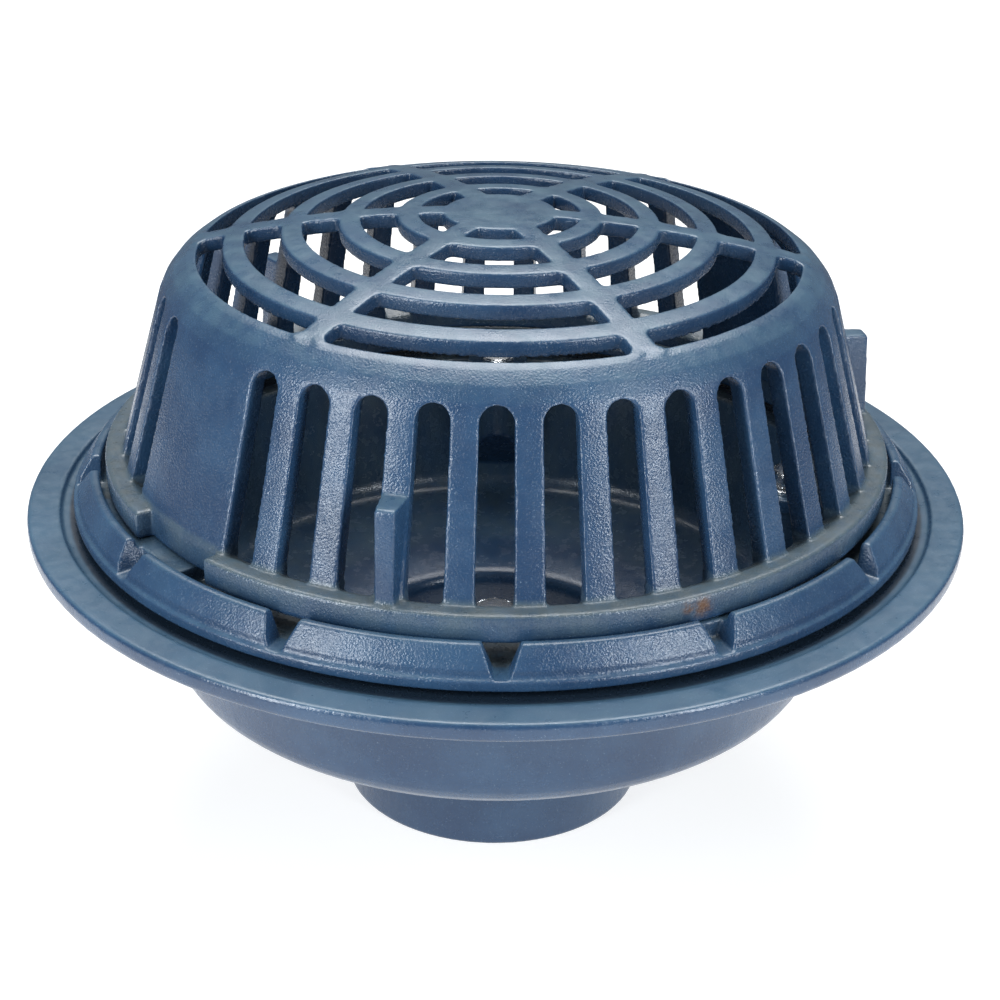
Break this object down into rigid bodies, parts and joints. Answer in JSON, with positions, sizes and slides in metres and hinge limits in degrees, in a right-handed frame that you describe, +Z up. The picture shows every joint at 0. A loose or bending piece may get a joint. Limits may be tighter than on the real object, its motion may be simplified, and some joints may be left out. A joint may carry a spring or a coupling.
{
  "type": "flat roof drain",
  "caption": "Cast-iron flat roof drain: flanged bowl on an outlet spigot, a bolted flashing clamp with weir notches, and a slotted dome strainer that lifts out.",
  "frame": {"origin": "centre of the outlet spigot's bottom rim, on the drain's axis", "axes": "+Z up along the drain's axis, from the outlet to the dome; -Y is the front, where one clamp bolt lies; +X is the right"},
  "size_m": [0.3905, 0.3904, 0.2604],
  "materials": {
    "body_iron": "glossy blue epoxy coat over sand-cast iron",
    "clamp_iron": "glossy blue epoxy coat over sand-cast iron",
    "dome_iron": "glossy blue epoxy coat over sand-cast iron, dusty on top",
    "zinc_bolt": "bright zinc-plated steel",
    "zinc_washer": "bright zinc-plated steel"
  },
  "bodies": {
    "drain": {"drain_body": "body_iron", "flashing_clamp": "clamp_iron", "bolt_front": "zinc_bolt", "bolt_right": "zinc_bolt", "bolt_back": "zinc_bolt", "bolt_left": "zinc_bolt", "washer_front": "zinc_washer", "washer_right": "zinc_washer", "washer_back": "zinc_washer", "washer_left": "zinc_washer"},
    "strainer": {"dome_strainer": "dome_iron"}
  },
  "joints": [
    {"name": "strainer_lift", "type": "slide", "parent": "drain", "child": "strainer", "axis": [0, 0, 1], "range_m": [0, 0.12]}
  ]
}
